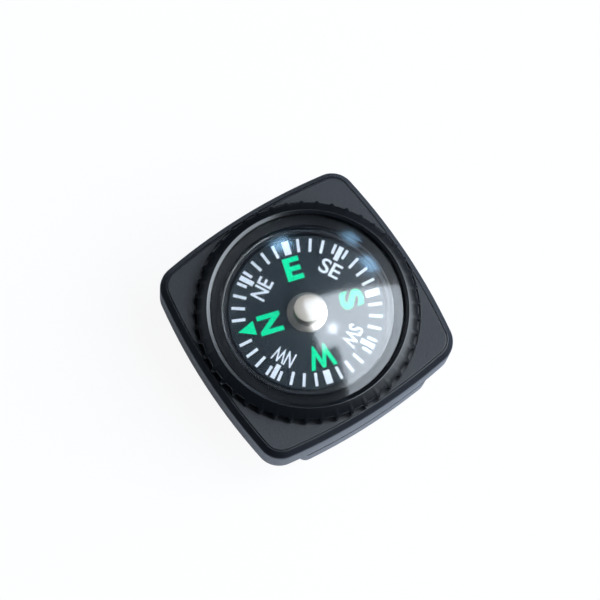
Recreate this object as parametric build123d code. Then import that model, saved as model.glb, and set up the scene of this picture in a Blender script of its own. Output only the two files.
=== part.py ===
from build123d import *
import math
import os

# A slip-on compass for a strap: a square case on a strap loop, a ribbed turning bezel,
# and a closed clear capsule with a compass card that swings on a needle.
# Millimetres and degrees. The origin is the middle of the underside, with +Z up.
# The strap runs along X, and the legs of its loop stand at the two Y sides.

# Strap loop
bridge_thickness = 1.5
slot_height = 4.4
loop_width = 15.0
loop_flare = 0.4
loop_round = 2.5
bridge_round = 0.8
slot_round = 0.5
leg_root = 0.85
parting_gap = 0.12

# Case
skirt_wall = 1.1
plate_thickness = 1.2
side_arc_radius = 61.0
corner_radius = 2.5
rim_width = 0.6
rim_drop = 0.9
rim_round = 0.5
rim_edge_round = 0.08

# Back cover and its snap ridges
cover_thickness = 1.0
cover_clearance = 0.1
snap_length = 8.0
snap_height = 0.4
snap_reach = 0.3
snap_clearance = 0.05

# Bezel ring and the collar that it turns on
collar_wall = 0.55
collar_height = 1.05
bead_height = 0.4
bead_reach = 0.15
bead_rise = 0.35
ring_clearance = 0.1
ring_wall = 0.55
lip_thickness = 1.0
lip_bevel = 0.3
lip_tilt = 30.0
ring_slope = 43.0
ring_edge_round = 0.07
rib_count = 45
rib_phase = 4.2
rib_height = 0.33
rib_foot = 0.62
rib_crest = 0.2

# Clear dome of the capsule
dome_radius = 9.75
dome_wall = 1.15
crown_radius = 25.0
crown_wall = 0.85
crown_sink = 0.55
shoulder_round = 0.2
dome_clearance = 0.1
lens_gap = 0.1
flange_width = 0.65
flange_thickness = 1.0
flange_side_gap = 0.55

# Cup of the capsule
cup_floor = 0.9
cup_flange = 1.6
well_wall = 0.45
well_clearance = 0.1
well_stand = 0.3
well_bevel = 0.16
well_tilt = 30.0

# Needle and its jewel bearing
needle_radius = 0.35
needle_point = 0.08
needle_taper = 1.2
needle_seat = 0.5
needle_clearance = 0.02
boss_wall = 0.55
boss_height = 0.5
pivot_lift = 0.9
pivot_clearance = 0.03
jewel_radius = 0.45
jewel_rise = 0.35
jewel_drop = 0.15
jewel_cone = 45.0
tilt_clearance = 0.1
setting_wall = 0.2

# Bearing cap, card and magnet
cap_stem_wall = 0.3
cap_wall = 0.57
cap_crown = 0.5
cap_cone = 0.12
cap_round = 0.12
cap_collar_reach = 0.61
cap_collar_height = 0.35
stem_clearance = 0.02
card_clearance = 0.25
card_thickness = 0.4
magnet_radius = 4.0
magnet_thickness = 1.0
magnet_bore_gap = 0.45
magnet_clearance = 1.4

# Marks on the card
north_bearing = 164.5
print_thickness = 0.05
scale_margin = 0.28
tick_step = 10
tick_length = 1.34
tick_width = 0.29
near_tick_length = 1.02
corner_tick_length = 1.5
corner_tick_width = 0.49
main_tick_length = 1.4
main_tick_width = 0.69
arrow_margin = 0.37
arrow_length = 1.72
arrow_width = 1.46

# Sizes across the case, worked out from the capsule outwards
flange_radius = dome_radius + flange_width
case_half = flange_radius + flange_side_gap + skirt_wall
cover_inset = skirt_wall + cover_clearance
slot_half = case_half - cover_inset - leg_root
dome_inner = dome_radius - dome_wall
well_outer = dome_inner - well_clearance
well_inner = well_outer - well_wall
card_radius = well_inner - card_clearance
scale_radius = card_radius - scale_margin
arrow_tip = scale_radius - arrow_margin
bore_radius = dome_radius + dome_clearance
collar_radius = bore_radius + collar_wall
ring_bore = collar_radius + ring_clearance
lip_radius = dome_radius + lens_gap
crest_radius = lip_radius + lip_bevel
rib_root_radius = ring_bore + ring_wall
rib_tip_radius = rib_root_radius + rib_height

# Levels of the case and capsule, from the underside upwards
case_bottom = bridge_thickness + slot_height
capsule_bottom = case_bottom + cover_thickness
cup_top = capsule_bottom + cup_flange
plate_underside = cup_top + flange_thickness
plate_top = plate_underside + plate_thickness
collar_top = plate_top + collar_height
bead_middle = plate_top + collar_height - bead_rise
ring_bottom = plate_top + ring_clearance
lip_underside = collar_top + ring_clearance
ring_top = lip_underside + lip_thickness
crown_middle = ring_top - crown_sink - math.sqrt(crown_radius**2 - dome_radius**2)
dome_top = crown_middle + crown_radius

# Levels of the card and its bearing
well_floor = capsule_bottom + cup_floor
boss_top = well_floor + boss_height
needle_bottom = well_floor - needle_seat
magnet_bottom = well_floor + magnet_clearance
card_bottom = magnet_bottom + magnet_thickness
card_top = card_bottom + card_thickness
well_top = card_top + well_stand
pivot_level = card_top + pivot_lift
jewel_bottom = pivot_level - jewel_drop
jewel_top = pivot_level + jewel_rise
setting_ceiling = jewel_top + tilt_clearance
setting_top = setting_ceiling + setting_wall
cap_ceiling = setting_top + tilt_clearance
cap_top = cap_ceiling + cap_crown

# Radii of the bearing, from the jewel outwards
setting_inner = jewel_radius + tilt_clearance
setting_outer = setting_inner + setting_wall
cap_inner = setting_outer + tilt_clearance
stem_radius = cap_inner + cap_stem_wall
cap_radius = cap_inner + cap_wall
cap_collar_radius = cap_radius + cap_collar_reach
magnet_bore = stem_radius + magnet_bore_gap


def polar(radius, angle):
    """A point in the plan, from its distance and its angle from +X."""
    turn = math.radians(angle)
    return (radius * math.cos(turn), radius * math.sin(turn))


def quarter_turned(point, quarters):
    """A point of the plan turned about the middle by quarter turns."""
    x, y = point
    for _ in range(quarters):
        x, y = -y, x
    return (x, y)


def case_outline(inset):
    """The bulged square of the case, moved inwards by a distance."""
    arc_back = side_arc_radius - case_half
    reach = side_arc_radius - corner_radius
    corner = (math.sqrt(2 * reach**2 - arc_back**2) - arc_back) / 2
    half_angle = math.degrees(math.atan2(corner, corner + arc_back))
    side_x, side_y = polar(side_arc_radius - inset, half_angle)
    tip_x, tip_y = polar(corner_radius - inset, 45)
    side_start = (side_x - arc_back, -side_y)
    side_middle = (case_half - inset, 0)
    side_end = (side_x - arc_back, side_y)
    corner_middle = (corner + tip_x, corner + tip_y)
    edges = []
    for side in range(4):
        side_points = [quarter_turned(p, side) for p in (side_start, side_middle, side_end)]
        edges.append(ThreePointArc(*side_points))
        corner_end = quarter_turned(side_start, side + 1)
        edges.append(ThreePointArc(side_points[2], quarter_turned(corner_middle, side), corner_end))
    return make_face(edges)


def prism(outline, bottom, top):
    """An outline of the plan raised from one level to another."""
    return Pos(0, 0, bottom) * extrude(outline, top - bottom)


def disc(radius, bottom, top):
    """A round prism on the Z axis."""
    return prism(Circle(radius), bottom, top)


def turned(profile):
    """A profile of distance and height turned about the Z axis."""
    return revolve(Plane.XZ * profile, Axis.Z)


def turned_points(points):
    """A solid turned from the corners of its profile."""
    return turned(make_face(Polyline(*points, close=True)))


def side_bar(length, bottom, top):
    """A bar across the case along X, to keep the two X ends of an outline."""
    return Pos(0, 0, (bottom + top) / 2) * Box(4 * case_half, length, top - bottom)


def snap_band(inset, length, height):
    """The two snap strips at the X sides of the cover, out to an inset of the outline."""
    middle = case_bottom + cover_thickness / 2
    bottom = middle - height / 2
    top = middle + height / 2
    return prism(case_outline(inset), bottom, top) & side_bar(length, bottom, top)


def loop_taper():
    """The two slanting X ends of the strap loop, as one wide wedge."""
    low = loop_width / 2
    high = low + loop_flare
    corners = [(-low, 0), (low, 0), (high, capsule_bottom), (-high, capsule_bottom)]
    wedge = extrude(Plane.XZ * make_face(Polyline(*corners, close=True)), 2 * case_half, both=True)
    return wedge


def strap_slot():
    """The space for the strap, rounded where the legs meet the bridge."""
    middle = bridge_thickness + slot_height / 2
    section = Plane.YZ * (Pos(0, middle) * Rectangle(2 * slot_half, slot_height))
    space = extrude(section, 2 * case_half, both=True)
    lower_edges = space.edges().filter_by(Axis.X).group_by(Axis.Z)[0]
    return fillet(lower_edges, slot_round)


def make_top_case():
    """The square shell: a skirt, a flat top plate and the collar for the bezel."""
    shell = prism(case_outline(0), case_bottom, plate_top)
    top_face = shell.faces().sort_by(Axis.Z)[-1]
    shell = chamfer(top_face.edges(), rim_width, rim_drop, reference=top_face)
    rim_foot = plate_top - rim_drop
    foot_edges = [e for e in shell.edges() if abs(e.center().Z - rim_foot) < rim_drop / 4]
    foot_ring = [e for e in foot_edges if e.bounding_box().size.Z < rim_drop / 4]
    shell = fillet(foot_ring, rim_round)
    shell = fillet(shell.faces().sort_by(Axis.Z)[-1].edges(), rim_edge_round)
    shell -= prism(case_outline(skirt_wall), case_bottom, plate_underside)
    collar_points = [
        (bore_radius, plate_underside),
        (collar_radius, plate_underside),
        (collar_radius, bead_middle - bead_height / 2),
        (collar_radius + bead_reach, bead_middle),
        (collar_radius, bead_middle + bead_height / 2),
        (collar_radius, collar_top),
        (bore_radius, collar_top),
    ]
    shell += turned_points(collar_points)
    shell -= disc(bore_radius, plate_underside, collar_top)
    groove = snap_band(
        cover_inset - snap_reach - snap_clearance,
        snap_length + 2 * snap_clearance,
        snap_height + 2 * snap_clearance,
    )
    return shell - groove


def make_back_cover():
    """The floor of the case with the strap loop under it, in one moulding."""
    floor = prism(case_outline(cover_inset), case_bottom, capsule_bottom)
    legs = prism(case_outline(0), 0, case_bottom - parting_gap)
    legs &= loop_taper()
    round_edges = [e for e in legs.faces().sort_by(Axis.Z)[0].edges() if abs(e.center().Y) > slot_half]
    legs = fillet(round_edges, loop_round)
    end_edges = legs.faces().sort_by(Axis.Z)[0].edges().filter_by(Axis.Y)
    legs = fillet(end_edges, bridge_round)
    roots = prism(case_outline(cover_inset), bridge_thickness, capsule_bottom) & loop_taper()
    loop = legs + roots - strap_slot()
    ridges = snap_band(cover_inset - snap_reach, snap_length, snap_height)
    return floor + loop + ridges


def ribbed_outline():
    """The plan of the bezel: a circle with narrow upright ribs."""
    foot_half = math.degrees(rib_foot / 2 / rib_root_radius)
    crest_half = math.degrees(rib_crest / 2 / rib_tip_radius)
    crest_edge = rib_tip_radius - rib_crest / 4
    pitch = 360 / rib_count
    edges = []
    for rib in range(rib_count):
        middle = rib_phase + rib * pitch
        foot_start = polar(rib_root_radius, middle - foot_half)
        crest_start = polar(crest_edge, middle - crest_half)
        crest_middle = polar(rib_tip_radius, middle)
        crest_end = polar(crest_edge, middle + crest_half)
        foot_end = polar(rib_root_radius, middle + foot_half)
        valley_middle = polar(rib_root_radius, middle + pitch / 2)
        next_foot = polar(rib_root_radius, middle + pitch - foot_half)
        edges.append(Line(foot_start, crest_start))
        edges.append(ThreePointArc(crest_start, crest_middle, crest_end))
        edges.append(Line(crest_end, foot_end))
        edges.append(ThreePointArc(foot_end, valley_middle, next_foot))
    return make_face(edges)


def make_bezel_ring():
    """The ribbed ring that turns on the collar, held by its bead."""
    slope = math.tan(math.radians(ring_slope))
    tip_level = ring_top - (rib_tip_radius - crest_radius) * slope
    bevel_foot = ring_top - lip_bevel * math.tan(math.radians(lip_tilt))
    profile_points = [
        (ring_bore, ring_bottom),
        (rib_tip_radius, ring_bottom),
        (rib_tip_radius, tip_level),
        (crest_radius, ring_top),
        (lip_radius, bevel_foot),
        (lip_radius, lip_underside),
        (ring_bore, lip_underside),
        (ring_bore, bead_middle + bead_height / 2 + ring_clearance),
        (ring_bore + bead_reach, bead_middle),
        (ring_bore, bead_middle - bead_height / 2 - ring_clearance),
    ]
    profile = make_face(Polyline(*profile_points, close=True))
    crest = profile.vertices().sort_by_distance((crest_radius, ring_top, 0))[0]
    profile = fillet(crest, ring_edge_round)
    return turned(profile) & prism(ribbed_outline(), ring_bottom, ring_top)


def make_capsule_dome():
    """The clear dome with its flange, open below."""
    inner_crown = crown_radius - crown_wall
    outer_angle = math.degrees(math.acos(dome_radius / crown_radius))
    inner_angle = math.degrees(math.acos(dome_inner / inner_crown))
    middle = (0, crown_middle)
    outer_crown = CenterArc(middle, crown_radius, 90, outer_angle - 90)
    ceiling = CenterArc(middle, inner_crown, inner_angle, 90 - inner_angle)
    wall = Polyline(
        outer_crown @ 1,
        (dome_radius, plate_underside),
        (flange_radius, plate_underside),
        (flange_radius, cup_top),
        (dome_inner, cup_top),
        ceiling @ 0,
    )
    axis_line = Line(ceiling @ 1, outer_crown @ 0)
    profile = make_face([outer_crown, wall, ceiling, axis_line])
    shoulder = profile.vertices().sort_by_distance(outer_crown @ 1)[0]
    return turned(fillet(shoulder, shoulder_round))


def make_capsule_cup():
    """The dark base of the capsule: floor, flange, well for the card and needle boss."""
    hole_radius = needle_radius + needle_clearance
    boss_radius = hole_radius + boss_wall
    bevel_rise = well_bevel * math.tan(math.radians(well_tilt))
    points = [
        (0, capsule_bottom),
        (flange_radius, capsule_bottom),
        (flange_radius, cup_top),
        (well_outer, cup_top),
        (well_outer, well_top + bevel_rise),
        (well_outer - well_bevel, well_top),
        (well_inner, well_top),
        (well_inner, well_floor),
        (boss_radius, well_floor),
        (boss_radius, boss_top),
        (hole_radius, boss_top),
        (hole_radius, needle_bottom),
        (0, needle_bottom),
    ]
    return turned_points(points)


def make_pivot_needle():
    """The steel needle, with a ball point at the pivot."""
    point = CenterArc((0, pivot_level), needle_point, 0, 90)
    shank = Polyline(
        point @ 1,
        (0, needle_bottom),
        (needle_radius, needle_bottom),
        (needle_radius, pivot_level - needle_taper),
        point @ 0,
    )
    return turned(make_face([point, shank]))


def make_pivot_jewel():
    """The cone bearing that rests on the needle's point."""
    half_cone = math.radians(jewel_cone)
    apex = pivot_level + (needle_point + pivot_clearance) / math.sin(half_cone)
    mouth = (apex - jewel_bottom) * math.tan(half_cone)
    points = [
        (0, apex),
        (mouth, jewel_bottom),
        (jewel_radius, jewel_bottom),
        (jewel_radius, jewel_top),
        (0, jewel_top),
    ]
    return turned_points(points)


def make_jewel_setting():
    """The bush over the jewel."""
    points = [
        (setting_inner, jewel_bottom),
        (setting_outer, jewel_bottom),
        (setting_outer, setting_top),
        (0, setting_top),
        (0, setting_ceiling),
        (setting_inner, setting_ceiling),
    ]
    return turned_points(points)


def make_bearing_cap():
    """The metal cap in the middle of the card: stem, collar and a low cone on top."""
    collar_level = card_top + cap_collar_height
    points = [
        (cap_inner, card_bottom),
        (stem_radius, card_bottom),
        (stem_radius, card_top),
        (cap_collar_radius, card_top),
        (cap_collar_radius, collar_level),
        (cap_radius, collar_level),
        (cap_radius, cap_top - cap_cone),
        (0, cap_top),
        (0, cap_ceiling),
        (cap_inner, cap_ceiling),
    ]
    profile = make_face(Polyline(*points, close=True))
    for corner in ((cap_radius, cap_top - cap_cone, 0), (cap_collar_radius, collar_level, 0)):
        nearest = profile.vertices().sort_by_distance(corner)[0]
        profile = fillet(nearest, cap_round)
    return turned(profile)


def make_compass_card():
    """The round card, with a hole for the stem of the cap."""
    return disc(card_radius, card_bottom, card_top) - disc(stem_radius + stem_clearance, card_bottom, card_top)


def make_card_magnet():
    """The ring magnet under the card."""
    return disc(magnet_radius, magnet_bottom, card_bottom) - disc(magnet_bore, magnet_bottom, card_bottom)


def on_card(mark, bearing):
    """A flat mark drawn along +X, laid on the card at a bearing clockwise from north."""
    return Rot(0, 0, north_bearing - bearing) * prism(mark, card_top, card_top + print_thickness)


def tick(length, width):
    """One mark of the scale, which ends at the scale's radius."""
    return Pos(scale_radius - length / 2, 0) * Rectangle(length, width)


def make_card_scale():
    """All marks of the scale: every ten degrees, with blocks at the corners and main points."""
    marks = []
    for bearing in range(0, 360, tick_step):
        from_main = bearing % 90
        if bearing == 0:
            continue
        if from_main == 0:
            marks.append(on_card(tick(main_tick_length, main_tick_width), bearing))
        elif abs(from_main - 45) < tick_step:
            marks.append(on_card(tick(near_tick_length, tick_width), bearing))
        else:
            marks.append(on_card(tick(tick_length, tick_width), bearing))
    for bearing in range(45, 360, 90):
        marks.append(on_card(tick(corner_tick_length, corner_tick_width), bearing))
    return Compound(children=[solid for mark in marks for solid in mark.solids()])


def make_north_arrow():
    """The arrowhead that points to north."""
    foot = arrow_tip - arrow_length
    corners = [(arrow_tip, 0), (foot, arrow_width / 2), (foot, -arrow_width / 2)]
    return on_card(make_face(Polyline(*corners, close=True)), 0)


nodes = {
    "top_case": make_top_case(),
    "back_cover": make_back_cover(),
    "bezel_ring": make_bezel_ring(),
    "capsule_dome": make_capsule_dome(),
    "capsule_cup": make_capsule_cup(),
    "pivot_needle": make_pivot_needle(),
    "pivot_jewel": make_pivot_jewel(),
    "jewel_setting": make_jewel_setting(),
    "bearing_cap": make_bearing_cap(),
    "compass_card": make_compass_card(),
    "card_magnet": make_card_magnet(),
    "card_scale": make_card_scale(),
    "north_arrow": make_north_arrow(),
}

os.makedirs("parts", exist_ok=True)
for name, solid in nodes.items():
    export_step(solid, f"parts/{name}.step")
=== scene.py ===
import math

import bmesh
import bpy
from bpy.props import FloatProperty, FloatVectorProperty, IntProperty, PointerProperty
from bpy.types import Operator, Panel, PropertyGroup
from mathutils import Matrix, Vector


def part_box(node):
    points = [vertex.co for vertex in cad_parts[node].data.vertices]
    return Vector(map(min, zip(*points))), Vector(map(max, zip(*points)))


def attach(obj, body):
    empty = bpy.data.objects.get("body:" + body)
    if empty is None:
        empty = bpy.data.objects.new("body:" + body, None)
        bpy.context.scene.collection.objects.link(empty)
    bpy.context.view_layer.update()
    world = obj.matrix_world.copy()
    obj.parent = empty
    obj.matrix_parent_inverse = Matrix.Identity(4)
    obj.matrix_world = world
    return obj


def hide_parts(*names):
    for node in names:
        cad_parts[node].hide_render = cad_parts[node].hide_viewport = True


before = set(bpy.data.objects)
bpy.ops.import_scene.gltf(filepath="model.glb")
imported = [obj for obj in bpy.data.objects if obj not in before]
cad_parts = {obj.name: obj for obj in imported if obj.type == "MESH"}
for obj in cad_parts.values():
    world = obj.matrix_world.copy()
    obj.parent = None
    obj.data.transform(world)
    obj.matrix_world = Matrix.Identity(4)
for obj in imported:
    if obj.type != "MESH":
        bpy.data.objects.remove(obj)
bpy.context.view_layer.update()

bl_info = {
    "name": "Strap compass",
    "version": (1, 0, 0),
    "blender": (4, 5, 0),
    "location": "View3D > Sidebar > Compass",
    "description": "Builds the looks of a slip-on strap compass round its packed solids",
    "category": "Object",
}

MM = 0.001

# Distances at which doubles are merged, swept ends are joined and sizes count as equal
MERGE = 1e-7
WELD = 1e-5
SPARE = 0.01 * MM

# Edges round a bar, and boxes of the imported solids
ROUND_STEPS = 180
CASE_LOW, CASE_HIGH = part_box("top_case")
COVER_LOW, COVER_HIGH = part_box("back_cover")
BEZEL_LOW, BEZEL_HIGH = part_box("bezel_ring")
DOME_LOW, DOME_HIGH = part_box("capsule_dome")
CAP_LOW, CAP_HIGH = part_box("bearing_cap")
CARD_LOW, CARD_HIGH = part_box("compass_card")
PRINT_LOW, PRINT_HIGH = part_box("card_scale")


def linear(hex_colour):
    """The linear colour of an sRGB hex value."""
    channels = [int(hex_colour[i : i + 2], 16) / 255 for i in (1, 3, 5)]
    return tuple(c / 12.92 if c <= 0.04045 else ((c + 0.055) / 1.055) ** 2.4 for c in channels)


def length(name, description, metres):
    """A length that a user can change."""
    return FloatProperty(name=name, description=description, default=metres, unit="LENGTH", precision=6)


def colour(name, description, hex_colour):
    """A colour that a user can change."""
    return FloatVectorProperty(
        name=name, description=description, default=linear(hex_colour), subtype="COLOR", min=0, max=1
    )


def angle(name, description, degrees):
    """An angle that a user can change."""
    return FloatProperty(name=name, description=description, default=math.radians(degrees), subtype="ANGLE")


def count(name, description, steps):
    """A number of steps or copies that a user can change."""
    return IntProperty(name=name, description=description, default=steps, min=1)


def number(name, description, value):
    """A plain number that a user can change."""
    return FloatProperty(name=name, description=description, default=value)


def plan_place(name, description, values):
    """A place in plan that a user can change."""
    return FloatVectorProperty(name=name, description=description, default=values, size=2, precision=4)


def heading(name, description, degrees, rise):
    """A direction that a user can change, from its bearing in plan and its rise."""
    turn = math.radians(degrees)
    way = (math.cos(turn), math.sin(turn), rise)
    return FloatVectorProperty(name=name, description=description, default=way, subtype="DIRECTION")


# Corners of the rim in millimetres, as (inset, up), from the top of the wall and from the edge of the plate
RIM_FOOT = ((0, 0), (0.02, 0.2), (0.055, 0.35), (0.11, 0.47))
RIM_EDGE = ((-0.07, -0.14), (-0.03, -0.06))

# Corners of the fine groove, as shares of its width and of its depth
GROOVE = ((0, 3 / 14), (0.35, 1), (0.65, 1), (1, 1 / 7))

# Shape of a rib, as (first step from its middle, last step, share of its height)
RIB_SHAPE = ((0, 1.5, 1.0), (1.5, 2.5, 0.5))

# Words of the card, as (bearing in degrees, word), the single letters with their width as a share of the N's
MAIN_WORDS = ((0, "N", 1.0), (90, "E", 0.82), (180, "S", 0.9), (270, "W", 1.32))
PAIR_WORDS = ((45, "NE"), (135, "SE"), (225, "SW"), (315, "NW"))


# Sizes of the pieces

class CaseSizes(PropertyGroup):
    """Square shell with bulged sides."""

    half_width: length("Half width", "From the middle to a side", CASE_HIGH.x)
    side_arc: length("Side arc", "Radius of the bulged sides", 61.0 * MM)
    corner_radius: length("Corner radius", "Rounding in plan", 2.5 * MM)
    bottom: length("Bottom", "Level of the lower edge", CASE_LOW.z)
    ceiling: length("Ceiling", "Level of the underside of the plate", 9.5 * MM)
    plate: length("Plate", "Level of the flat top plate", 10.7 * MM)
    skirt: length("Skirt", "Thickness of the side walls", 1.1 * MM)
    collar_top: length("Collar top", "Top of the collar", CASE_HIGH.z)
    collar_radius: length("Collar radius", "Outside of the collar", 10.4 * MM)
    bore: length("Bore", "Hole for the capsule", 9.85 * MM)
    moat_radius: length("Moat radius", "Outside of the sunk ring", 11.44 * MM)
    moat_depth: length("Moat depth", "Depth of the sunk ring", 0.5 * MM)
    rim_drop: length("Rim drop", "Height of the sloping rim", 0.9 * MM)
    rim_foot: length("Rim foot", "Height of the steep foot under it", 0.15 * MM)
    rim_width: length("Rim width", "Width of the sloping rim", 0.6 * MM)
    line_start: length("Line start", "From the rim to the fine groove", 0.02 * MM)
    line_width: length("Line width", "Width of the fine groove inside the rim", 0.18 * MM)
    line_depth: length("Line depth", "Depth of the fine groove", 0.14 * MM)
    side_steps: count("Side steps", "Edges along one side, none inside the loop's ends", 14)
    corner_steps: count("Corner steps", "Edges round one corner", 12)


class LoopSizes(PropertyGroup):
    """Back cover with the strap loop."""

    bridge: length("Bridge", "Thickness under the strap", 1.5 * MM)
    slot_half: length("Slot half width", "Half of the strap's room", 10.0 * MM)
    slot_top: length("Slot top", "Level of the cover's underside", CASE_LOW.z)
    slot_round: length("Slot round", "Inner corners of the loop", 0.5 * MM)
    width: length("Width", "Length along the strap, at its foot", 15.0 * MM)
    flare: length("Flare", "Slant of each end, out towards the case", 0.4 * MM)
    foot_round: length("Foot round", "Outer corners of the loop", 2.5 * MM)
    end_round: length("End round", "Softened ends of the loop", 0.8 * MM)
    parting: length("Parting", "Gap between loop and case", 0.45 * MM)
    inset: length("Inset", "Cover's edge from the outline", 1.2 * MM)
    top: length("Top", "Level of the cover's inside", COVER_HIGH.z)


class BezelSizes(PropertyGroup):
    """Ribbed turning ring."""

    crest: length("Crest", "Level where bevel and slope meet", 12.85 * MM)
    crest_radius: length("Crest radius", "Radius where they meet", 10.12 * MM)
    crest_round: length("Crest round", "Rounding of the crest", 0.07 * MM)
    bottom: length("Bottom", "Level of the underside", BEZEL_LOW.z)
    lip_radius: length("Lip radius", "Hole round the dome", 9.79 * MM)
    lip_underside: length("Lip underside", "Level of the lip above the collar", 11.85 * MM)
    lip_tilt: angle("Lip tilt", "Fall of the lip's bevel", 38.0)
    bore: length("Bore", "Hole round the collar", 10.5 * MM)
    root_radius: length("Root radius", "Outside between the ribs", 11.05 * MM)
    tip_radius: length("Tip radius", "Outside over the ribs", 11.38 * MM)
    slope: angle("Slope", "Fall of the ring's top", 43.0)
    edge_round: length("Edge round", "Softened edge of the slope", 0.05 * MM)
    ribs: count("Ribs", "Number of ribs", 45)
    rib_steps: count("Rib steps", "Edges round one rib and its valley", 16)
    phase: angle("Phase", "Bearing of the first rib", 4.2)


class CapsuleSizes(PropertyGroup):
    """Clear dome of the capsule."""

    radius: length("Radius", "Outside of the dome", 9.75 * MM)
    inner_radius: length("Inner radius", "Inside of the dome's wall", 8.6 * MM)
    top: length("Top", "Highest point", DOME_HIGH.z)
    crown_radius: length("Crown radius", "Radius of the domed top", 25.0 * MM)
    crown_wall: length("Crown wall", "Thickness of the domed top", 0.85 * MM)
    shoulder: length("Shoulder", "Rounding between crown and side", 0.2 * MM)
    ceiling_round: length("Ceiling round", "Rounding of the ceiling's edge", 0.12 * MM)
    flange_radius: length("Flange radius", "Outside of the flange", DOME_HIGH.x)
    flange_top: length("Flange top", "Its level under the plate", 9.5 * MM)
    flange_bottom: length("Flange bottom", "Its level, bedded in the cup", DOME_LOW.z - 0.02 * MM)
    crown_steps: count("Crown steps", "Edges from the middle to the rim", 28)
    turn_steps: count("Turn steps", "Edges round the dome", 180)


class CupSizes(PropertyGroup):
    """Dark base of the capsule."""

    ledge: length("Ledge", "Level of the flat ledge round the card", 10.9 * MM)
    polish_radius: length("Polish radius", "Start of the ledge's polished edge", 8.36 * MM)


class CapSizes(PropertyGroup):
    """Metal bearing cap of the card."""

    bottom: length("Bottom", "Foot of the stem", CAP_LOW.z)
    top: length("Top", "Highest point", CAP_HIGH.z)
    bore: length("Bore", "Hole for the jewel's bush", 0.85 * MM)
    ceiling: length("Ceiling", "Level of the hole's end", 12.25 * MM)
    stem_radius: length("Stem radius", "Stem through the card", 1.15 * MM)
    collar_level: length("Collar level", "Top of the collar", 10.95 * MM)
    collar_fall: length("Collar fall", "Fall of the collar to its edge", 0.26 * MM)
    collar_radius: length("Collar radius", "Collar on the card", CAP_HIGH.x)
    radius: length("Radius", "Outside of the cap", 1.42 * MM)
    cone: length("Cone", "Rise of the low cone on top", 0.12 * MM)
    collar_round: length("Collar round", "Rounding of the collar's edge", 0.06 * MM)
    edge_round: length("Edge round", "Rounding of the cap's edge", 0.08 * MM)
    turn_steps: count("Turn steps", "Edges round the cap", 96)


class PrintSizes(PropertyGroup):
    """Letters of the card."""

    north: angle("North", "Bearing of north from +X", 164.5)
    main_height: length("Main height", "Height of N, E, S and W", 2.36 * MM)
    main_width: length("Main width", "Width of N", 2.04 * MM)
    main_place: length("Main place", "Middle of E, S and W from the centre", 4.64 * MM)
    north_place: length("North place", "Middle of N from the centre", 3.84 * MM)
    main_weight: number("Main weight", "Extra boldness of N, E, S and W", 0.035)
    pair_height: length("Pair height", "Height of NE, SE, SW and NW", 1.52 * MM)
    pair_width: length("Pair width", "Width of a pair", 2.2 * MM)
    pair_place: length("Pair place", "Middle of a pair from the centre", 5.05 * MM)
    pair_weight: number("Pair weight", "Extra boldness of a pair", 0.012)
    letter_gap: number("Letter gap", "Letter spacing, as a share of the font's", 0.95)
    bottom: length("Bottom", "Level of the card's face", CARD_HIGH.z)
    top: length("Top", "Level of the ink", PRINT_HIGH.z)


class Finishes(PropertyGroup):
    """Colours of the finishes."""

    case: colour("Case", "Black ABS of the case", "#0B0D12")
    bezel: colour("Bezel", "Black ABS of the bezel", "#060709")
    cup: colour("Cup", "Black ABS of the cup", "#06090E")
    card: colour("Card", "Printed card", "#2C3236")
    white: colour("White ink", "Marks and small letters", "#F2F6FB")
    green: colour("Green ink", "Arrow and main letters", "#00ECA2")
    nickel: colour("Nickel", "Plated cap", "#CABFB1")
    brass: colour("Brass", "Bush of the jewel", "#B08D4A")
    steel: colour("Steel", "Needle", "#B9BBBE")
    ferrite: colour("Ferrite", "Magnet", "#3A3A3C")
    paper: colour("Paper", "White paper under the part", "#B9BEC8")
    table: colour("Table", "Table beyond the paper", "#24272B")


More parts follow.
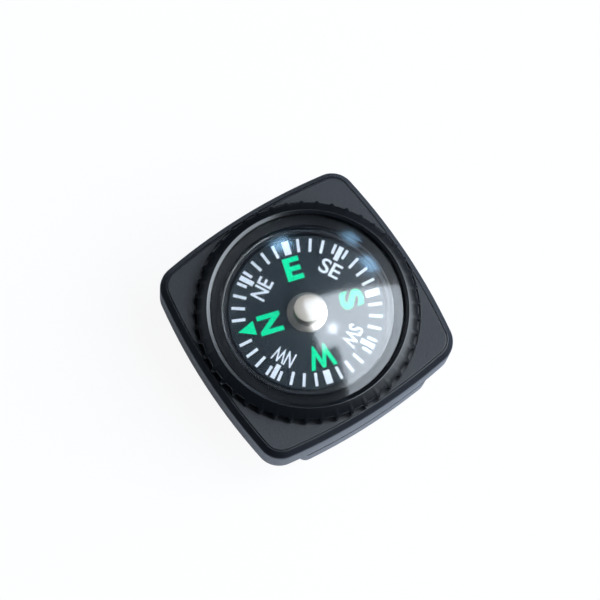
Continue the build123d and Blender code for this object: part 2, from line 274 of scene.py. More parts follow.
class StudioSettings(PropertyGroup):
    """Camera and lights of the stage. A window's sides are shares of its height above the part."""

    camera_place: FloatVectorProperty(
        name="Camera place",
        description="Where the photograph was taken from",
        default=(-44.313 * MM, -42.228 * MM, 277.934 * MM),
        unit="LENGTH",
        precision=6,
    )
    camera_turn: FloatVectorProperty(
        name="Camera turn",
        description="Rotation of the camera",
        default=(math.radians(12.8117), math.radians(-2.8751), math.radians(-33.0342)),
        subtype="EULER",
    )
    sensor: number("Sensor", "Sensor's width in millimetres", 36.0)
    lens: number("Lens", "Focal length in millimetres", 164.013)
    floor_size: length("Floor size", "Side of the floor", 2.4)
    paper_edge: length("Paper edge", "Where the paper starts to fade", 20 * MM)
    paper_end: length("Paper end", "Where only the table is left", 36 * MM)
    paper_glow: number("Paper glow", "How white the paper is to the camera", 0.92)
    paper_mirror: number("Paper mirror", "How white the paper is in reflections", 0.15)
    light_height: length("Light height", "Height above the floor", 0.473)
    light_turn: angle("Light turn", "Turn of the windows in plan", -13.5)
    upper_low: plan_place("Upper low", "Its lower corner", (0.088, -0.21))
    upper_high: plan_place("Upper high", "Its higher corner", (3.0, 0.238))
    lower_low: plan_place("Lower low", "Its lower corner", (0.25, -2.0))
    lower_high: plan_place("Lower high", "Its higher corner", (3.0, -0.21))
    window_colour: colour("Window colour", "Cool daylight", "#E9F4FF")
    window_light: number("Window light", "Radiance of the windows", 7.6)
    right_glow: heading("Right glow", "Where the room is brightest", -22, 0.05)
    right_light: number("Right light", "Radiance of that glow", 5.0)
    right_spread: number("Right spread", "How quickly that glow fades", 4.0)
    left_glow: heading("Left glow", "The lit wall across the room", 134, 0.25)
    left_light: number("Left light", "Radiance of that glow", 0.42)
    left_spread: number("Left spread", "How quickly that glow fades", 7.0)
    lamp_first: plan_place("First lamp", "Its place", (0.355, 0.936))
    lamp_second: plan_place("Second lamp", "Its place", (1.184, 0.713))
    lamp_third: plan_place("Third lamp", "Its place", (1.07, 0.28))
    lamp_size: number("Lamp size", "Side of a lamp", 0.2)
    lamp_colour: colour("Lamp colour", "Blue lamps of the room", "#9ACFFA")
    lamp_light: number("Lamp light", "Radiance of the lamps", 10.0)
    glow_place: plan_place("Glow place", "Lamp in front of the windows", (0.229, -0.115))
    glow_size: number("Glow size", "Side of that lamp", 0.07)
    glow_light: number("Glow light", "Radiance of that lamp", 22.0)
    room: colour("Room", "Colour of the room", "#8CA4C4")
    room_light: number("Room light", "Brightness of the room", 0.15)


# Modelling by hand, step by step

def clear_selection():
    """Leaves edit mode and deselects every object."""
    if bpy.context.object and bpy.context.object.mode != "OBJECT":
        bpy.ops.object.mode_set(mode="OBJECT")
    bpy.ops.object.select_all(action="DESELECT")


def edit():
    """Enters edit mode."""
    bpy.ops.object.mode_set(mode="EDIT")


def leave_edit():
    """Leaves edit mode and gives the piece that was worked on."""
    bpy.ops.object.mode_set(mode="OBJECT")
    return bpy.context.object


def select_mesh():
    """Selects the whole mesh."""
    bpy.ops.mesh.select_all(action="SELECT")


def bevel(offset, segments, affect="EDGES"):
    """Rounds the selected edges or points."""
    bpy.ops.mesh.bevel(offset=offset, segments=segments, affect=affect, clamp_overlap=False)


def lone_point(place):
    """A new mesh of one point, in edit mode, ready to be drawn out."""
    clear_selection()
    bpy.ops.mesh.primitive_plane_add(size=MM)
    edit()
    bpy.ops.mesh.merge(type="CENTER")
    bpy.ops.transform.translate(value=place)


def pick(kind, test):
    """Selects the points, edges or faces whose points all pass a test."""
    bpy.ops.mesh.select_mode(type=kind)
    bpy.ops.mesh.select_all(action="DESELECT")
    data = bpy.context.edit_object.data
    mesh = bmesh.from_edit_mesh(data)
    parts = {"VERT": mesh.verts, "EDGE": mesh.edges, "FACE": mesh.faces}[kind]
    for part in parts:
        points = [part] if kind == "VERT" else part.verts
        part.select_set(all(test(point.co) for point in points))
    mesh.select_flush_mode()
    bmesh.update_edit_mesh(data)


def keep_edges(test):
    """Keeps only the selected edges whose two ends pass a test."""
    data = bpy.context.edit_object.data
    mesh = bmesh.from_edit_mesh(data)
    for edge in mesh.edges:
        edge.select_set(edge.select and test(edge.verts[0].co, edge.verts[1].co))
    mesh.select_flush_mode()
    bmesh.update_edit_mesh(data)


def near(value, target):
    """True if a size is as good as another."""
    return abs(value - target) < SPARE


def swing(steps, turn, centre, axis=(0, 0, -1), copies=False):
    """Sweeps what is selected round an axis. The axis points down, so a positive turn is anticlockwise."""
    bpy.ops.mesh.spin(steps=steps, angle=turn, center=centre, axis=axis, dupli=copies, use_auto_merge=False)


def draw_line(moves):
    """Draws out the selected point along straight moves."""
    for move in moves:
        bpy.ops.mesh.extrude_vertices_move(TRANSFORM_OT_translate={"value": move})


def widen(scale):
    """Scales what is selected in plan, from the Z axis."""
    bpy.ops.transform.resize(value=(scale, scale, 1), center_override=(0, 0, 0))


def draw_out(move, scale=1.0):
    """Extrudes what is selected, moves it and scales it in plan."""
    bpy.ops.mesh.extrude_region_move(TRANSFORM_OT_translate={"value": move})
    if scale != 1.0:
        widen(scale)


def rod(radius, bottom, top):
    """A round bar on the Z axis."""
    clear_selection()
    bpy.ops.mesh.primitive_cylinder_add(
        vertices=ROUND_STEPS, radius=radius, depth=top - bottom, location=(0, 0, (top + bottom) / 2)
    )
    return bpy.context.object


def close_mesh():
    """Merges doubles and turns the faces outwards."""
    bpy.ops.mesh.select_mode(type="VERT")
    select_mesh()
    bpy.ops.mesh.remove_doubles(threshold=MERGE)
    bpy.ops.mesh.normals_make_consistent(inside=False)


def finish_piece(name, body, material, smooth, replaced=()):
    """Leaves edit mode, names the piece, shades it, and ties it to the frame."""
    piece = leave_edit()
    piece.name = name
    piece.data.name = name
    bpy.ops.object.shade_smooth_by_angle(angle=math.radians(smooth))
    piece.data.materials.clear()
    piece.data.materials.append(material)
    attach(piece, body)
    if replaced:
        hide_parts(*replaced)


def combine(piece, tool, operation):
    """Joins a second solid to a piece, or cuts it out, and deletes it."""
    clear_selection()
    bpy.context.view_layer.objects.active = piece
    piece.select_set(True)
    bpy.ops.object.modifier_add(type="BOOLEAN")
    modifier = piece.modifiers[-1]
    modifier.operation = operation
    modifier.object = tool
    bpy.ops.object.modifier_apply(modifier=modifier.name)
    bpy.data.objects.remove(tool)


def case_outline(case, inset, level):
    """The bulged square as one flat face, swept side by side and corner by corner from one point."""
    arc_back = case.side_arc - case.half_width
    reach = case.side_arc - case.corner_radius
    corner = (math.sqrt(2 * reach**2 - arc_back**2) - arc_back) / 2
    half_turn = math.atan2(corner, corner + arc_back)
    radius = case.side_arc - inset
    lone_point((radius * math.cos(half_turn) - arc_back, -radius * math.sin(half_turn), level))
    for quarter in range(4):
        across = math.cos(quarter * math.pi / 2)
        along = math.sin(quarter * math.pi / 2)
        swing(case.side_steps, 2 * half_turn, (-arc_back * across, -arc_back * along, level))
        corner_centre = (corner * (across - along), corner * (across + along), level)
        swing(case.corner_steps, math.pi / 2 - 2 * half_turn, corner_centre)
    select_mesh()
    bpy.ops.mesh.remove_doubles(threshold=WELD)
    bpy.ops.mesh.edge_face_add()


def inset_to(profile):
    """Steps the selected face in and up, from one (inset, level) to the next."""
    for (inset, level), (next_inset, next_level) in zip(profile, profile[1:]):
        bpy.ops.mesh.inset(thickness=next_inset - inset, depth=next_level - level, use_even_offset=True)


# Materials

def add(tree, kind, inputs=None, **settings):
    """Adds a shader node, sets it, and gives each input a value or another node's output."""
    node = tree.nodes.new("ShaderNode" + kind)
    for name, value in settings.items():
        setattr(node, name, value)
    for socket, value in (inputs or {}).items():
        if isinstance(value, bpy.types.NodeSocket):
            tree.links.new(value, node.inputs[socket])
        else:
            node.inputs[socket].default_value = value
    return node


def calculate(tree, operation, first, second):
    """The result of a sum on two values, each a number or another node's output."""
    return add(tree, "Math", {0: first, 1: second}, operation=operation).outputs["Value"]


def stretch(tree, value, low, high):
    """A value between 0 and 1, stretched to lie between two others."""
    return add(tree, "MapRange", {"Value": value, "To Min": low, "To Max": high}).outputs["Result"]


def rise(tree, value, start, end, most=1.0):
    """0 up to a start, and then more and more of its most up to an end."""
    inputs = {"Value": value, "From Min": start, "From Max": end, "To Max": most}
    return add(tree, "MapRange", inputs).outputs["Result"]


def object_place(tree):
    """Where a point lies in the part's own frame."""
    return add(tree, "TexCoord").outputs["Object"]


def noise(tree, place, size, detail):
    """Clouds of values between 0 and 1, of about a given size."""
    inputs = {"Vector": place, "Scale": 1 / size, "Detail": detail}
    return add(tree, "TexNoise", inputs).outputs["Fac"]


def relief(tree, height, strength, depth):
    """The direction of the surface over a fine relief."""
    inputs = {"Height": height, "Strength": strength, "Distance": depth}
    return add(tree, "Bump", inputs).outputs["Normal"]


def solid(rgb):
    """A colour as a socket takes it."""
    return (rgb[0], rgb[1], rgb[2], 1)


def toned(rgb, factor):
    """A colour made darker or paler."""
    return [min(1, factor * channel) for channel in rgb]


def blend(tree, factor, first, second):
    """The colour between two colours, each given as numbers or as another node's output."""
    colours = [c if isinstance(c, bpy.types.NodeSocket) else solid(c) for c in (first, second)]
    inputs = {"Factor": factor, "A": colours[0], "B": colours[1]}
    return add(tree, "Mix", inputs, data_type="RGBA").outputs["Result"]


def start_material(name):
    """A new node material with nothing in it."""
    material = bpy.data.materials.new(name)
    material.use_nodes = True
    material.node_tree.nodes.clear()
    return material, material.node_tree


def end_material(tree, inputs):
    """The shader and the output of a material."""
    shader = add(tree, "BsdfPrincipled", inputs)
    add(tree, "OutputMaterial", {"Surface": shader.outputs["BSDF"]})


def moulded_abs(name, rgb, grain, specular, lower, upper, split=0.0, along=(0, 0, 1)):
    """Black ABS from a steel mould. Past a distance its (roughness, texture) is the upper one."""
    material, tree = start_material(name)
    place = object_place(tree)
    reach = add(tree, "VectorMath", {0: place, 1: along}, operation="MULTIPLY").outputs["Vector"]
    distance = add(tree, "VectorMath", {0: reach}, operation="LENGTH").outputs["Value"]
    past = calculate(tree, "GREATER_THAN", distance, split)
    grains = noise(tree, place, grain, detail=3.0)
    smears = calculate(tree, "MULTIPLY", noise(tree, place, 5 * MM, detail=4.0), 0.1)
    pale = [min(1, 1.5 * channel + 0.002) for channel in rgb]
    end_material(tree, {
        "Base Color": blend(tree, grains, rgb, pale),
        "Roughness": calculate(tree, "ADD", stretch(tree, past, lower[0], upper[0]), smears),
        "Normal": relief(tree, grains, stretch(tree, past, lower[1], upper[1]), grain / 4),
        "Specular IOR Level": specular,
        "IOR": 1.53,
    })
    return material


def acrylic_material():
    """Polished clear acrylic, with the faint smears of handling in its gloss."""
    material, tree = start_material("acrylic_polished_clear")
    smears = noise(tree, object_place(tree), 3 * MM, detail=5.0)
    end_material(tree, {
        "Base Color": (1, 1, 1, 1),
        "Roughness": stretch(tree, smears, 0.08, 0.13),
        "IOR": 1.49,
        "Transmission Weight": 1.0,
    })
    return material


def card_material(rgb):
    """Matte printed card: an even dark coat with faint clouds and a few specks of dust."""
    material, tree = start_material("card_printed_matte")
    place = object_place(tree)
    clouds = noise(tree, place, 1.5 * MM, detail=6.0)
    dust = rise(tree, noise(tree, place, 0.3 * MM, detail=1.0), 0.72, 0.8, most=0.5)
    coat = blend(tree, clouds, toned(rgb, 0.8), toned(rgb, 1.25))
    end_material(tree, {
        "Base Color": blend(tree, dust, coat, toned(rgb, 4)),
        "Roughness": 0.7,
        "Normal": relief(tree, clouds, 0.1, 0.02 * MM),
        "Specular IOR Level": 0.1,
    })
    return material


def ink_material(name, rgb):
    """Screen-printed ink: flat and matte, thinner in small spots where the mesh left less of it."""
    material, tree = start_material(name)
    thin = rise(tree, noise(tree, object_place(tree), 0.25 * MM, detail=2.0), 0.55, 0.8, most=0.6)
    end_material(tree, {
        "Base Color": blend(tree, thin, rgb, toned(rgb, 0.6)),
        "Roughness": 0.6,
        "Specular IOR Level": 0.1,
    })
    return material


def turned_metal(name, rgb, pitch, depth, side, face, split=0.0):
    """Metal with the fine rings of a lathe, and a roughness of its own for the face above a level."""
    material, tree = start_material(name)
    place = object_place(tree)
    # A ring texture of scale 1 has a pitch of pi / 10
    rings = add(
        tree,
        "TexWave",
        {"Vector": place, "Scale": math.pi / 10 / pitch, "Distortion": 0.6, "Detail": 2.0},
        wave_type="RINGS",
        rings_direction="Z",
    ).outputs["Fac"]
    clouds = noise(tree, place, 0.6 * MM, detail=4.0)
    level = add(tree, "SeparateXYZ", {"Vector": place}).outputs["Z"]
    above = calculate(tree, "GREATER_THAN", level, split)
    smears = stretch(tree, clouds, -0.08, 0.08)
    end_material(tree, {
        "Base Color": blend(tree, clouds, toned(rgb, 0.85), rgb),
        "Metallic": 1.0,
        "Roughness": calculate(tree, "ADD", stretch(tree, above, side, face), smears),
        "Normal": relief(tree, rings, depth, pitch / 4),
    })
    return material


def ferrite_material(rgb):
    """Sintered ferrite: dull and faintly mottled."""
    material, tree = start_material("ferrite_sintered")
    grain = 0.08 * MM
    grains = noise(tree, object_place(tree), grain, detail=4.0)
    end_material(tree, {
        "Base Color": blend(tree, grains, toned(rgb, 0.7), toned(rgb, 1.3)),
        "Roughness": 0.75,
        "Normal": relief(tree, grains, 0.3, grain / 3),
    })
    return material


def jewel_material():
    """Polished glass bearing."""
    material, tree = start_material("glass_polished_jewel")
    streaks = noise(tree, object_place(tree), 0.2 * MM, detail=2.0)
    end_material(tree, {
        "Base Color": (0.8, 0.88, 0.95, 1),
        "Roughness": stretch(tree, streaks, 0.0, 0.06),
        "IOR": 1.52,
        "Transmission Weight": 1.0,
    })
    return material


# Pieces

class COMPASS_OT_case(Operator):
    """Build the square case shell"""

    bl_idname = "compass.case"
    bl_label = "Case shell"

    def execute(self, context):
        case = context.scene.compass_case
        look = context.scene.compass_finishes
        shell = self.block(case)
        combine(shell, rod(case.moat_radius, case.plate - case.moat_depth, case.plate + MM), "DIFFERENCE")
        combine(shell, rod(case.collar_radius, case.ceiling, case.collar_top), "UNION")
        combine(shell, self.hollow(case), "DIFFERENCE")
        combine(shell, rod(case.bore, case.bottom, case.collar_top + MM), "DIFFERENCE")
        edit()
        close_mesh()
        black = moulded_abs(
            "abs_moulded_fine_texture", look.case, grain=0.22 * MM, specular=0.32,
            lower=(0.32, 0.05), upper=(0.42, 0.25), split=case.plate - SPARE,
        )
        finish_piece("case_shell", "case", black, smooth=20, replaced=["top_case"])
        return {"FINISHED"}

    def block(self, case):
        """The outline raised to the rim and stepped in along it and over the fine groove to the plate."""
        start = case.plate - case.rim_drop - case.rim_foot
        line = case.rim_width + case.line_start
        profile = [(MM * inset, start + MM * up) for inset, up in RIM_FOOT]
        profile += [(case.rim_width + MM * inset, case.plate + MM * up) for inset, up in RIM_EDGE]
        for across, down in GROOVE:
            profile.append((line + across * case.line_width, case.plate - down * case.line_depth))
        profile.append((line + case.line_width + 0.04 * MM, case.plate))
        case_outline(case, 0, case.bottom)
        draw_out((0, 0, start - case.bottom))
        pick("FACE", lambda point: near(point.z, start))
        inset_to(profile)
        close_mesh()
        return leave_edit()

    def hollow(self, case):
        """The room inside the side walls, open below."""
        case_outline(case, case.skirt, case.bottom - MM)
        draw_out((0, 0, case.ceiling - case.bottom + MM))
        close_mesh()
        return leave_edit()


class COMPASS_OT_strap_loop(Operator):
    """Build the back cover with the strap loop"""

    bl_idname = "compass.strap_loop"
    bl_label = "Strap loop"

    def execute(self, context):
        case = context.scene.compass_case
        loop = context.scene.compass_loop
        black = bpy.data.materials["abs_moulded_fine_texture"]
        legs = self.block(case, loop, 0, 0, loop.slot_top - loop.parting)
        self.round_foot(loop)
        self.round_ends(loop)
        roots = self.block(case, loop, loop.inset, loop.bridge, loop.slot_top + loop.parting)
        floor = self.floor(case, loop)
        combine(legs, roots, "UNION")
        combine(legs, floor, "UNION")
        combine(legs, self.slot(loop), "DIFFERENCE")
        edit()
        close_mesh()
        finish_piece("strap_loop", "case", black, smooth=30, replaced=["back_cover"])
        return {"FINISHED"}

    def block(self, case, loop, inset, bottom, top):
        """A stretch of the outline between the two slanting ends of the loop."""
        case_outline(case, inset, bottom)
        draw_out((0, 0, top - bottom))
        lean = math.atan2(loop.flare, loop.top)
        for side in (1, -1):
            select_mesh()
            bpy.ops.mesh.bisect(
                plane_co=(side * loop.width / 2, 0, 0),
                plane_no=(side * math.cos(lean), 0, -math.sin(lean)),
                use_fill=True,
                clear_outer=True,
                threshold=MERGE,
            )
        close_mesh()
        return leave_edit()

    def round_foot(self, loop):
        """Rounds the lower edges of the two legs."""
        edit()
        for side in (1, -1):
            pick("EDGE", lambda point: near(point.z, 0) and side * point.y > loop.slot_half)
            bevel(loop.foot_round, segments=10)
        close_mesh()
        leave_edit()

    def round_ends(self, loop):
        """Softens the outline of the two slanting ends, all but its top edge."""
        edit()
        ceiling = loop.slot_top - loop.parting
        lean = loop.flare / loop.top
        pick("EDGE", lambda point: near(abs(point.x) - lean * point.z, loop.width / 2))
        top_edge = 2 * ceiling - SPARE
        keep_edges(lambda first, second: first.x * second.x > 0 and first.z + second.z < top_edge)
        bevel(loop.end_round, segments=5)
        close_mesh()
        leave_edit()

    def floor(self, case, loop):
        """The plate that closes the case from below."""
        case_outline(case, loop.inset, loop.slot_top)
        draw_out((0, 0, loop.top - loop.slot_top))
        close_mesh()
        return leave_edit()

    def slot(self, loop):
        """The strap's room, rounded where the legs meet the bridge."""
        clear_selection()
        height = loop.slot_top - loop.bridge
        bpy.ops.mesh.primitive_cube_add(size=1)
        edit()
        bpy.ops.transform.resize(value=(2 * loop.width, 2 * loop.slot_half, height))
        bpy.ops.transform.translate(value=(0, 0, loop.bridge + height / 2))
        pick("EDGE", lambda point: near(point.z, loop.bridge))
        keep_edges(lambda first, second: not near(first.x, second.x))
        bevel(loop.slot_round, segments=6)
        return leave_edit()


class COMPASS_OT_bezel(Operator):
    """Build the ribbed turning ring"""

    bl_idname = "compass.bezel"
    bl_label = "Bezel"

    def execute(self, context):
        ring = context.scene.compass_bezel
        look = context.scene.compass_finishes
        pitch = math.tau / ring.ribs
        self.sector(ring, pitch)
        select_mesh()
        swing(ring.ribs - 1, math.tau - pitch, (0, 0, 0), copies=True)
        select_mesh()
        bpy.ops.mesh.remove_doubles(threshold=WELD)
        foot = ring.bottom + 0.2 * MM
        pick("EDGE", lambda point: point.xy.length > ring.root_radius - SPARE and point.z > foot)
        bevel(ring.edge_round, segments=2)
        bpy.ops.mesh.select_mode(type="EDGE")
        bpy.ops.mesh.select_all(action="DESELECT")
        bpy.ops.mesh.select_non_manifold(extend=False, use_wire=True, use_boundary=True)
        bpy.ops.mesh.bridge_edge_loops()
        close_mesh()
        satin = moulded_abs(
            "abs_moulded_satin", look.bezel, grain=0.16 * MM, specular=0.45,
            lower=(0.17, 0.04), upper=(0.17, 0.04),
        )
        finish_piece("ribbed_bezel", "bezel", satin, smooth=32, replaced=["bezel_ring"])
        return {"FINISHED"}

    def sector(self, ring, pitch):
        """One rib and its valley, drawn from an arc of the bore up over the lip and down to the foot."""
        start = ring.phase - pitch / 2
        radius = ring.bore
        level = ring.bottom
        lone_point((radius * math.cos(start), radius * math.sin(start), level))
        swing(ring.rib_steps, pitch, (0, 0, level))
        select_mesh()
        for next_radius, next_level in self.profile(ring):
            draw_out((0, 0, next_level - level), next_radius / radius)
            radius = next_radius
            level = next_level
        self.pull_rib(ring, pitch / ring.rib_steps, level)
        pick("EDGE", lambda point: point.xy.length > ring.root_radius - SPARE)
        draw_out((0, 0, 0))
        bpy.ops.transform.resize(value=(1, 1, 0), center_override=(0, 0, ring.bottom))

    def profile(self, ring):
        """Corners of the section from the bore to the foot of the slope, as (radius, level)."""
        root_level = ring.crest - (ring.root_radius - ring.crest_radius) * math.tan(ring.slope)
        return [
            (ring.bore, ring.lip_underside),
            (ring.lip_radius, ring.lip_underside),
            (ring.lip_radius, ring.crest - (ring.crest_radius - ring.lip_radius) * math.tan(ring.lip_tilt)),
            *self.crest(ring),
            (ring.root_radius, root_level),
        ]

    def crest(self, ring):
        """The rounded crest, from the bevel of the lip over to the slope."""
        steps = 6
        first = math.pi / 2 + ring.lip_tilt
        last = math.pi / 2 - ring.slope
        middle = (first + last) / 2
        back = ring.crest_round / math.cos((first - last) / 2)
        points = []
        for step in range(steps + 1):
            turn = first + (last - first) * step / steps
            radius = ring.crest_radius - back * math.cos(middle) + ring.crest_round * math.cos(turn)
            level = ring.crest - back * math.sin(middle) + ring.crest_round * math.sin(turn)
            points.append((radius, level))
        return points

    def pull_rib(self, ring, step, root_level):
        """Pulls the middle of the slope's foot out along the slope, and the points beside it half as far."""
        reach = ring.tip_radius - ring.root_radius
        for nearest, furthest, part in RIB_SHAPE:
            def on_rib(point):
                away = abs(math.atan2(point.y, point.x) - ring.phase) / step
                return near(point.z, root_level) and nearest <= away < furthest
            pick("VERT", on_rib)
            widen(1 + part * reach / ring.root_radius)
            bpy.ops.transform.translate(value=(0, 0, -part * reach * math.tan(ring.slope)))


class COMPASS_OT_capsule(Operator):
    """Build the clear dome of the capsule"""

    bl_idname = "compass.capsule"
    bl_label = "Clear dome"

    def execute(self, context):
        clear = context.scene.compass_capsule
        centre = (0, 0, clear.top - clear.crown_radius)
        ceiling_radius = clear.crown_radius - clear.crown_wall
        edge_turn = math.asin(clear.radius / clear.crown_radius)
        ceiling_turn = math.asin(clear.inner_radius / ceiling_radius)
        edge_level = centre[2] + clear.crown_radius * math.cos(edge_turn)
        ceiling_level = centre[2] + ceiling_radius * math.cos(ceiling_turn)
        lone_point((0, 0, clear.top))
        swing(clear.crown_steps, edge_turn, centre, axis=(0, -1, 0))
        draw_line([
            (0, 0, clear.flange_top - edge_level),
            (clear.flange_radius - clear.radius, 0, 0),
            (0, 0, clear.flange_bottom - clear.flange_top),
            (clear.inner_radius - clear.flange_radius, 0, 0),
            (0, 0, ceiling_level - clear.flange_bottom),
        ])
        swing(clear.crown_steps, -ceiling_turn, centre, axis=(0, -1, 0))
        self.round_edge(clear.radius, edge_level, clear.shoulder)
        self.round_edge(clear.inner_radius, ceiling_level, clear.ceiling_round)
        select_mesh()
        swing(clear.turn_steps, math.tau, (0, 0, 0))
        close_mesh()
        acrylic = acrylic_material()
        finish_piece("clear_dome", "case", acrylic, smooth=40, replaced=["capsule_dome"])
        return {"FINISHED"}

    def round_edge(self, radius, level, rounding):
        """Rounds a corner of about 110 degrees in the drawn section."""
        pick("VERT", lambda point: near(point.x, radius) and near(point.z, level))
        bevel(0.68 * rounding, segments=6, affect="VERTICES")


class COMPASS_OT_bearing_cap(Operator):
    """Build the turned metal cap in the middle of the card"""

    bl_idname = "compass.bearing_cap"
    bl_label = "Bearing cap"

    def execute(self, context):
        cap = context.scene.compass_cap
        look = context.scene.compass_finishes
        card_level = context.scene.compass_print.bottom
        collar_edge = (cap.collar_radius, cap.collar_level - cap.collar_fall)
        top_edge = (cap.radius, cap.top - cap.cone)
        corners = [
            (0, cap.ceiling),
            (cap.bore, cap.ceiling),
            (cap.bore, cap.bottom),
            (cap.stem_radius, cap.bottom),
            (cap.stem_radius, card_level),
            (cap.collar_radius, card_level),
            collar_edge,
            (cap.radius, cap.collar_level),
            top_edge,
            (0, cap.top),
        ]
        lone_point((corners[0][0], 0, corners[0][1]))
        draw_line([(b[0] - a[0], 0, b[1] - a[1]) for a, b in zip(corners, corners[1:])])
        for (radius, level), rounding in ((collar_edge, cap.collar_round), (top_edge, cap.edge_round)):
            pick("VERT", lambda point: near(point.x, radius) and near(point.z, level))
            bevel(rounding, segments=5, affect="VERTICES")
        select_mesh()
        swing(cap.turn_steps, math.tau, (0, 0, 0))
        close_mesh()
        nickel = turned_metal(
            "nickel_plated_turned", look.nickel, pitch=0.12 * MM, depth=0.2,
            side=0.36, face=0.62, split=cap.top - cap.cone,
        )
        finish_piece("turned_cap", "card", nickel, smooth=30, replaced=["bearing_cap"])
        return {"FINISHED"}


class COMPASS_OT_letters(Operator):
    """Print the letters of the card"""

    bl_idname = "compass.letters"
    bl_label = "Card letters"

    def execute(self, context):
        sizes = context.scene.compass_print
        look = context.scene.compass_finishes
        green = ink_material("ink_screen_printed_green", look.green)
        white = ink_material("ink_screen_printed_white", look.white)
        for bearing, word, share in MAIN_WORDS:
            place = sizes.main_place if bearing else sizes.north_place
            size = (share * sizes.main_width, sizes.main_height)
            self.letter(sizes, word, bearing, place, size, sizes.main_weight)
            finish_piece("letter_" + word, "card", green, smooth=30)
        size = (sizes.pair_width, sizes.pair_height)
        for bearing, word in PAIR_WORDS:
            self.letter(sizes, word, bearing, sizes.pair_place, size, sizes.pair_weight)
            finish_piece("letter_" + word, "card", white, smooth=30)
        return {"FINISHED"}

    def letter(self, sizes, word, bearing, place, size, weight):
        """One word: text made a mesh, fitted to its size, and laid on the card with its head outwards."""
        clear_selection()
        bpy.ops.object.text_add()
        text = bpy.context.object
        text.data.body = word
        text.data.offset = weight
        text.data.extrude = 0.5
        text.data.resolution_u = 8
        text.data.space_character = sizes.letter_gap
        bpy.ops.object.convert(target="MESH")
        piece = bpy.context.object
        corners = [piece.matrix_world @ point.co for point in piece.data.vertices]
        low = [min(point[axis] for point in corners) for axis in range(3)]
        high = [max(point[axis] for point in corners) for axis in range(3)]
        thickness = sizes.top - sizes.bottom
        edit()
        select_mesh()
        bpy.ops.transform.translate(value=[-(a + b) / 2 for a, b in zip(low, high)])
        scale = [wanted / (b - a) for wanted, a, b in zip((*size, thickness), low, high)]
        bpy.ops.transform.resize(value=scale, center_override=(0, 0, 0))
        bpy.ops.transform.translate(value=(0, place, (sizes.top + sizes.bottom) / 2))
        leave_edit()
        piece.rotation_euler.z = sizes.north - math.radians(bearing) - math.pi / 2
        bpy.ops.object.transform_apply(location=True, rotation=True, scale=True)


class COMPASS_OT_inner_finishes(Operator):
    """Give the pieces inside the capsule their finishes"""

    bl_idname = "compass.inner_finishes"
    bl_label = "Inner finishes"

    def execute(self, context):
        look = context.scene.compass_finishes
        cup = context.scene.compass_cup
        smooth = moulded_abs(
            "abs_moulded_smooth", look.cup, grain=0.3 * MM, specular=0.4, lower=(0.5, 0.05),
            upper=(0.12, 0.0), split=math.hypot(cup.polish_radius, cup.ledge), along=(1, 1, 1),
        )
        steel = turned_metal("steel_ground", look.steel, pitch=0.05 * MM, depth=0.1, side=0.2, face=0.2)
        brass = turned_metal("brass_turned", look.brass, pitch=0.06 * MM, depth=0.15, side=0.3, face=0.3)
        finishes = {
            "capsule_cup": smooth,
            "pivot_needle": steel,
            "pivot_jewel": jewel_material(),
            "jewel_setting": brass,
            "compass_card": card_material(look.card),
            "card_magnet": ferrite_material(look.ferrite),
            "card_scale": bpy.data.materials["ink_screen_printed_white"],
            "north_arrow": bpy.data.materials["ink_screen_printed_green"],
        }
        for name, material in finishes.items():
            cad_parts[name].material_slots[0].material = material
        return {"FINISHED"}


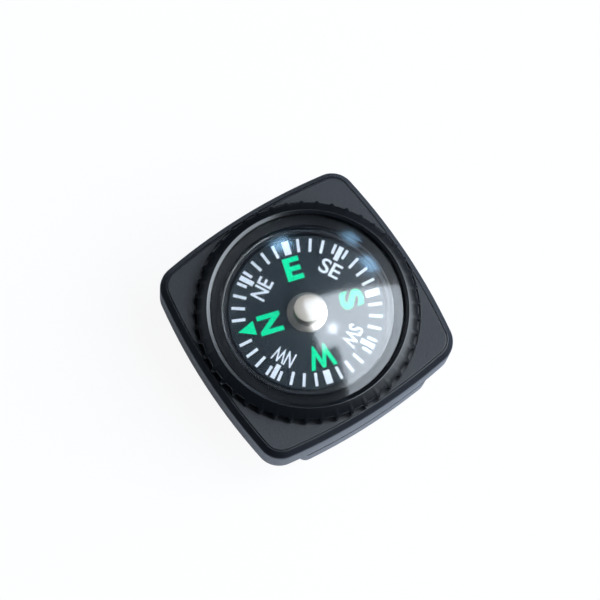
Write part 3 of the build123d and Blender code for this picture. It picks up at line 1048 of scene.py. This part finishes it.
class COMPASS_OT_stage(Operator):
    """Set up the floor, the lights and the camera"""

    bl_idname = "compass.stage"
    bl_label = "Stage"

    def execute(self, context):
        studio = context.scene.compass_studio
        look = context.scene.compass_finishes
        self.floor(studio, look)
        self.room(context, studio)
        self.window(studio, "upper_window", studio.upper_low, studio.upper_high)
        self.window(studio, "lower_window", studio.lower_low, studio.lower_high)
        for name in ("lamp_first", "lamp_second", "lamp_third"):
            place = getattr(studio, name)
            self.lamp(studio, name, place, studio.lamp_size, studio.lamp_colour, studio.lamp_light)
        tint = studio.window_colour
        self.lamp(studio, "glow_lamp", studio.glow_place, studio.glow_size, tint, studio.glow_light)
        clear_selection()
        bpy.ops.object.camera_add(location=studio.camera_place, rotation=studio.camera_turn)
        camera = context.object
        camera.name = "photo_camera"
        camera.data.sensor_width = studio.sensor
        camera.data.lens = studio.lens
        camera.data.clip_start = 5 * MM
        context.scene.camera = camera
        context.scene.view_settings.view_transform = "Standard"
        return {"FINISHED"}

    def floor(self, studio, look):
        """White paper that keeps the shadow. In reflections it gives way to a darker table further out."""
        clear_selection()
        bpy.ops.mesh.primitive_plane_add(size=studio.floor_size)
        floor = bpy.context.object
        floor.name = "studio_floor"
        material, tree = start_material("paper_matte_white")
        path = add(tree, "LightPath").outputs
        seen = path["Is Camera Ray"]
        distance = add(tree, "VectorMath", {"Vector": object_place(tree)}, operation="LENGTH")
        paper = rise(tree, distance.outputs["Value"], studio.paper_end, studio.paper_edge)
        mirrored = calculate(tree, "MAXIMUM", path["Is Glossy Ray"], path["Is Transmission Ray"])
        on_paper = calculate(tree, "MULTIPLY", mirrored, paper)
        around = blend(tree, paper, look.table, look.paper)
        matte = add(tree, "BsdfDiffuse", {"Color": blend(tree, seen, around, look.paper)})
        white = add(tree, "Emission", {"Color": (1, 1, 1, 1), "Strength": 1.0})
        direct = calculate(tree, "MULTIPLY", seen, studio.paper_glow)
        bounced = calculate(tree, "MULTIPLY", on_paper, studio.paper_mirror)
        glow = calculate(tree, "MAXIMUM", direct, bounced)
        shaders = {0: glow, 1: matte.outputs["BSDF"], 2: white.outputs["Emission"]}
        mixed = add(tree, "MixShader", shaders)
        add(tree, "OutputMaterial", {"Surface": mixed.outputs["Shader"]})
        floor.data.materials.append(material)

    def room(self, context, studio):
        """A dim room round the stage, white to the camera."""
        world = bpy.data.worlds.new("studio_room")
        context.scene.world = world
        world.use_nodes = True
        tree = world.node_tree
        tree.nodes.clear()
        seen = add(tree, "LightPath").outputs["Is Camera Ray"]
        dim = add(tree, "Background", {"Color": solid(studio.room), "Strength": studio.room_light})
        lit = dim.outputs["Background"]
        for way, light, spread in (
            (studio.right_glow, studio.right_light, studio.right_spread),
            (studio.left_glow, studio.left_light, studio.left_spread),
        ):
            glow = self.glow(tree, way, light, spread)
            soft = add(tree, "Background", {"Color": solid(studio.window_colour), "Strength": glow})
            lit = add(tree, "AddShader", {0: lit, 1: soft.outputs["Background"]}).outputs["Shader"]
        white = add(tree, "Background", {"Color": (1, 1, 1, 1), "Strength": 1.0})
        mixed = add(tree, "MixShader", {0: seen, 1: lit, 2: white.outputs["Background"]})
        add(tree, "OutputWorld", {"Surface": mixed.outputs["Shader"]})

    def window(self, studio, name, low, high):
        """A large window overhead, between two corners in shares of its height."""
        height = studio.light_height
        size = [height * (b - a) for a, b in zip(low, high)]
        x, y = [height * (b + a) / 2 for a, b in zip(low, high)]
        cos = math.cos(studio.light_turn)
        sin = math.sin(studio.light_turn)
        place = (x * cos - y * sin, x * sin + y * cos, height)
        self.panel(name, place, (0, 0, studio.light_turn), size, studio.window_colour, studio.window_light)

    def glow(self, tree, way, light, spread):
        """Radiance of a soft glow of the room, brightest along one way."""
        look = add(tree, "TexCoord").outputs["Generated"]
        dot = add(tree, "VectorMath", {0: look, 1: way}, operation="DOT_PRODUCT")
        ahead = calculate(tree, "MAXIMUM", dot.outputs["Value"], 0.0)
        return calculate(tree, "MULTIPLY", calculate(tree, "POWER", ahead, spread), light)

    def lamp(self, studio, name, share, side, tint, radiance):
        """A small square lamp just under the windows, placed and sized in shares of its height."""
        height = studio.light_height - 10 * MM
        place = (height * share[0], height * share[1], height)
        size = (height * side, height * side)
        self.panel(name, place, (0, 0, 0), size, tint, radiance)

    def panel(self, name, place, turn, size, tint, radiance):
        """A flat light of an even radiance, unseen by the camera itself."""
        clear_selection()
        bpy.ops.object.light_add(type="AREA", location=place, rotation=turn)
        panel = bpy.context.object
        panel.name = name
        panel.visible_camera = False
        panel.data.shape = "RECTANGLE"
        panel.data.size = size[0]
        panel.data.size_y = size[1]
        panel.data.energy = radiance * math.pi * size[0] * size[1]
        panel.data.color = tint


class COMPASS_PT_panel(Panel):
    """Lists the steps of the build"""

    bl_idname = "COMPASS_PT_panel"
    bl_label = "Strap compass"
    bl_space_type = "VIEW_3D"
    bl_region_type = "UI"
    bl_category = "Compass"

    def draw(self, context):
        for step in STEPS:
            self.layout.operator(step.bl_idname)


STEPS = (
    COMPASS_OT_case,
    COMPASS_OT_strap_loop,
    COMPASS_OT_bezel,
    COMPASS_OT_capsule,
    COMPASS_OT_bearing_cap,
    COMPASS_OT_letters,
    COMPASS_OT_inner_finishes,
    COMPASS_OT_stage,
)
SETTINGS = {
    "compass_case": CaseSizes,
    "compass_loop": LoopSizes,
    "compass_bezel": BezelSizes,
    "compass_capsule": CapsuleSizes,
    "compass_cup": CupSizes,
    "compass_cap": CapSizes,
    "compass_print": PrintSizes,
    "compass_finishes": Finishes,
    "compass_studio": StudioSettings,
}


def register():
    for name, group in SETTINGS.items():
        bpy.utils.register_class(group)
        setattr(bpy.types.Scene, name, PointerProperty(type=group))
    for step in STEPS:
        bpy.utils.register_class(step)
    bpy.utils.register_class(COMPASS_PT_panel)


def unregister():
    bpy.utils.unregister_class(COMPASS_PT_panel)
    for step in reversed(STEPS):
        bpy.utils.unregister_class(step)
    for name, group in SETTINGS.items():
        delattr(bpy.types.Scene, name)
        bpy.utils.unregister_class(group)


def main():
    register()
    bpy.ops.compass.case()
    bpy.ops.compass.strap_loop()
    bpy.ops.compass.bezel()
    bpy.ops.compass.capsule()
    bpy.ops.compass.bearing_cap()
    bpy.ops.compass.letters()
    bpy.ops.compass.inner_finishes()
    bpy.ops.compass.stage()


if __name__ == "__main__":
    main()
